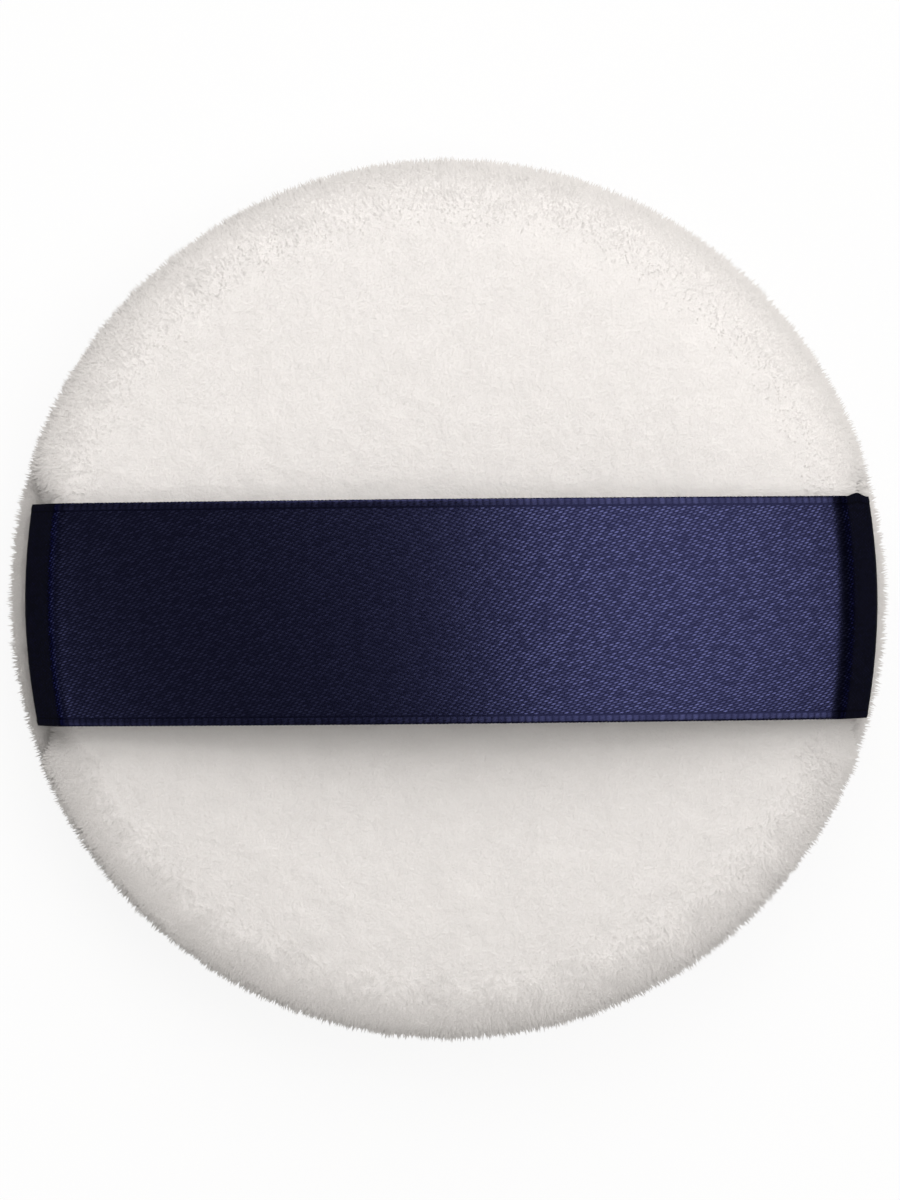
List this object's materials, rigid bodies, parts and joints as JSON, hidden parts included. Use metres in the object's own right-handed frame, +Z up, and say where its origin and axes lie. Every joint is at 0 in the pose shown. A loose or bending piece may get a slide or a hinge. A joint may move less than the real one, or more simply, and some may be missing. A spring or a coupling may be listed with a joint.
{
  "type": "powder puff",
  "caption": "Round plush powder puff with a crowned padded back, a flat soft applicator face and a satin ribbon strap across the back that a finger slides under.",
  "frame": {"origin": "middle of the flat of the applicator face, on which the puff lies", "axes": "+Z up through the crowned back, +X along the ribbon strap, +Y across it"},
  "size_m": [0.079, 0.079, 0.023],
  "materials": {
    "plush": "short dense warm-white velour pile on a knitted ground",
    "foam": "open-cell cream polyurethane foam",
    "wadding": "loose white polyester wadding",
    "satin_ribbon": "navy satin weave with a soft sheen and woven selvedges",
    "seam_thread": "spun off-white sewing thread",
    "tack_thread": "spun navy sewing thread"
  },
  "bodies": {
    "puff": {"back_cover": "plush", "face_cover": "plush", "foam_core": "foam", "back_wadding": "wadding", "face_wadding": "wadding", "needle_thread": "seam_thread", "bobbin_thread": "seam_thread", "closing_stitch": "seam_thread", "left_strap_tack": "tack_thread", "right_strap_tack": "tack_thread"},
    "strap": {"finger_strap": "satin_ribbon"}
  },
  "joints": [
    {"name": "strap_lift", "type": "slide", "parent": "puff", "child": "strap", "axis": [0, 0, 1], "range_m": [-0.0048, 0.0035], "stiffness_N_per_m": 15, "deforming": ["finger_strap"]}
  ]
}
